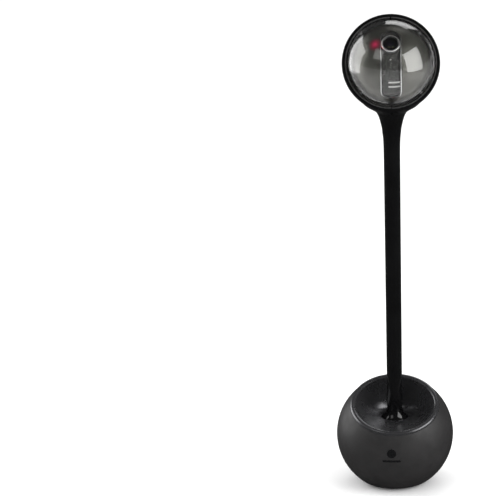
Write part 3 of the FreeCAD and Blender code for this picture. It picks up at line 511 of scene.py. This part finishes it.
def drum_marks(shape):
    """Two pale bars low on the shield, a painted highlight: raised ribs coloured pale to stand for the
    light they catch.
    """
    for angle in HIGHLIGHT_BAR_ANGLES:
        slab(shape, HIGHLIGHT_BAR_SIDE, HIGHLIGHT_BAR_HALF_LENGTH, math.radians(angle), HIGHLIGHT_BAR_HALF_HEIGHT,
             FOOT_R, DRUM_R + 0.1 * MM, HIGHLIGHT_BAR_STEPS)


CHIP_COUNT = 46
CHIP_REACH = 5.4 * MM
CHIP_ANGLES = (-54.0, -21.0)


def drum_chips(shape):
    """Tiny parts scattered over the shield below the lens."""
    scatter = random.Random(11)
    for _ in range(CHIP_COUNT):
        side = scatter.uniform(-CHIP_REACH, CHIP_REACH)
        angle = math.radians(scatter.uniform(*CHIP_ANGLES))
        half_length = scatter.uniform(0.15, 0.42) * MM
        half_height = scatter.uniform(0.12, 0.32) * MM
        slab(shape, side, half_length, angle, half_height,
             FOOT_R, DRUM_R + scatter.uniform(0.08, 0.2) * MM)


DOT_SIDE = -0.2 * MM
DOT_ANGLE = math.radians(-24.4)
DOT_R = 0.55 * MM
DOT_HEIGHT = 0.22 * MM


def stud(shape, centre, radius, height, segments=24):
    """Small domed stud standing on the shield."""
    outward = (centre - TILT_CENTRE).normalized()
    across = outward.orthogonal().normalized()
    upward = outward.cross(across)
    rings = []
    for share, lift in ((1.0, -0.05 * MM), (1.0, 0.5 * height), (0.8, 0.85 * height), (0.4, height)):
        ring = []
        for index in range(segments):
            turn = 2 * math.pi * index / segments
            offset = (across * math.cos(turn) + upward * math.sin(turn)) * radius * share
            ring.append(shape.verts.new(centre + offset + outward * lift))
        rings.append(ring)
    for before, after in zip(rings, rings[1:]):
        for index in range(segments):
            following = (index + 1) % segments
            shape.faces.new((before[index], before[following], after[following], after[index]))
    shape.faces.new(rings[-1])
    shape.faces.new(rings[0][::-1])


def drum_stud(shape):
    """Pale stud below the lens."""
    stud(shape, eye_point(DOT_SIDE, DOT_ANGLE, DRUM_R), DOT_R, DOT_HEIGHT)


GLOW_RINGS = 10
GLOW_SEGMENTS = 40


def glow_patch(shape):
    """Round patch of a ball about the tilt centre, just above the mask, which carries the painted red
    glow.
    """
    middle = eye_point(GLOW_SIDE, 0, GLOW_LAYER_R)
    outward = (middle - TILT_CENTRE).normalized()
    across = outward.orthogonal().normalized()
    upward = outward.cross(across)
    rings = []
    for step in range(1, GLOW_RINGS + 1):
        radius = GLOW_R * step / GLOW_RINGS
        ring = []
        for index in range(GLOW_SEGMENTS):
            turn = 2 * math.pi * index / GLOW_SEGMENTS
            offset = (across * math.cos(turn) + upward * math.sin(turn)) * radius
            direction = outward * GLOW_LAYER_R + offset
            ring.append(shape.verts.new(TILT_CENTRE + direction.normalized() * GLOW_LAYER_R))
        rings.append(ring)
    tip = shape.verts.new(middle)
    for index in range(GLOW_SEGMENTS):
        following = (index + 1) % GLOW_SEGMENTS
        shape.faces.new((tip, rings[0][index], rings[0][following]))
        for before, after in zip(rings, rings[1:]):
            shape.faces.new((before[index], before[following], after[following], after[index]))


def eye_details():
    """Small pieces that tilt with the eye."""
    # painted highlight: the two bars on the shield are coloured pale
    piece_from("drum_marks", drum_marks, pale_mark(), "eye", 0.03 * MM)
    piece_from("drum_chips", drum_chips, chip_grey(), "eye", 0.02 * MM)
    piece_from("drum_stud", drum_stud, pale_mark(), "eye")
    # painted glow: an emitting sheet, no lamp, standing for the red lamp's light in the mask
    piece_from("lamp_glow", glow_patch, red_glow(), "eye")


# ---------------------------------------------------------------- studio

VIEW_ELEVATION = math.radians(17.5)
VIEW_DISTANCE = 4.0
LENS_MM = 410.5
AIM_OFFSET = Vector((-0.1025, 0, 0.0033))
ROLL = math.radians(-1.1)


def camera():
    """Long lens in front and above, aimed left of the object."""
    data = bpy.data.cameras.new("camera")
    data.lens = LENS_MM
    data.clip_end = 100
    holder = bpy.data.objects.new("camera", data)
    bpy.context.scene.collection.objects.link(holder)
    back = Vector((0, -math.cos(VIEW_ELEVATION), math.sin(VIEW_ELEVATION)))
    place = OBJECT_MIDDLE + back * VIEW_DISTANCE
    look_along = OBJECT_MIDDLE + AIM_OFFSET - place
    turn = look_along.to_track_quat("-Z", "Y").to_matrix().to_4x4()
    holder.matrix_world = Matrix.Translation(place) @ turn @ Matrix.Rotation(ROLL, 4, "Z")
    bpy.context.scene.camera = holder


FLOOR_SIDE = 16.0


def floor():
    """Plain pale floor, left out of reflections so that black stays black."""
    bpy.ops.mesh.primitive_plane_add(size=FLOOR_SIDE)
    plane = bpy.context.object
    plane.name = "floor"
    look = Look("floor", roughness=0.9, specular_ior_level=0.1)
    look.drive(look.blend(look.noise(0.4, 2.0), (0.87, 0.87, 0.87), (0.89, 0.89, 0.89)), "Base Color")
    put_on(plane, look.material)
    plane.visible_glossy = False


WORLD_LIGHT = 1.1
WORLD_IN_GLOSS = 0.05


def world():
    """Pale even surroundings, which gloss sees as a dim room."""
    sky = bpy.data.worlds.new("studio")
    sky.use_nodes = True
    bpy.context.scene.world = sky
    tree = sky.node_tree
    background = tree.nodes["Background"]
    background.inputs["Color"].default_value = (1, 1, 1, 1)
    path = tree.nodes.new("ShaderNodeLightPath")
    matt = tree.nodes.new("ShaderNodeMath")
    matt.operation = "MAXIMUM"
    tree.links.new(path.outputs["Is Camera Ray"], matt.inputs[0])
    tree.links.new(path.outputs["Is Diffuse Ray"], matt.inputs[1])
    strength = tree.nodes.new("ShaderNodeMapRange")
    strength.inputs["To Min"].default_value = WORLD_IN_GLOSS
    strength.inputs["To Max"].default_value = WORLD_LIGHT
    tree.links.new(matt.outputs["Value"], strength.inputs["Value"])
    tree.links.new(strength.outputs["Result"], background.inputs["Strength"])


def softbox(name, place, target, size, radiance):
    """Square soft lamp aimed at a point."""
    data = bpy.data.lights.new(name, "AREA")
    data.size = size
    data.energy = radiance * size * size * math.pi
    lamp = bpy.data.objects.new(name, data)
    bpy.context.scene.collection.objects.link(lamp)
    aim = (target - place).to_track_quat("-Z", "Y").to_matrix().to_4x4()
    lamp.matrix_world = Matrix.Translation(place) @ aim
    lamp.visible_camera = False


def lamps():
    """Four plain softboxes round the object: front left, right, left and behind."""
    middle = Vector((0, 0, 0.2))
    softbox("key", Vector((-0.7, -0.9, 1.1)), middle, size=0.6, radiance=1.2)
    softbox("right_box", Vector((0.8, -0.4, 0.5)), middle, size=0.8, radiance=4.0)
    softbox("left_box", Vector((-0.9, 0.3, 0.4)), middle, size=0.9, radiance=3.0)
    softbox("back_box", Vector((0.2, 0.9, 0.9)), middle, size=0.6, radiance=2.0)


finish_nodes()
eye_details()
camera()
floor()
world()
lamps()
bpy.context.scene.view_settings.view_transform = "Standard"
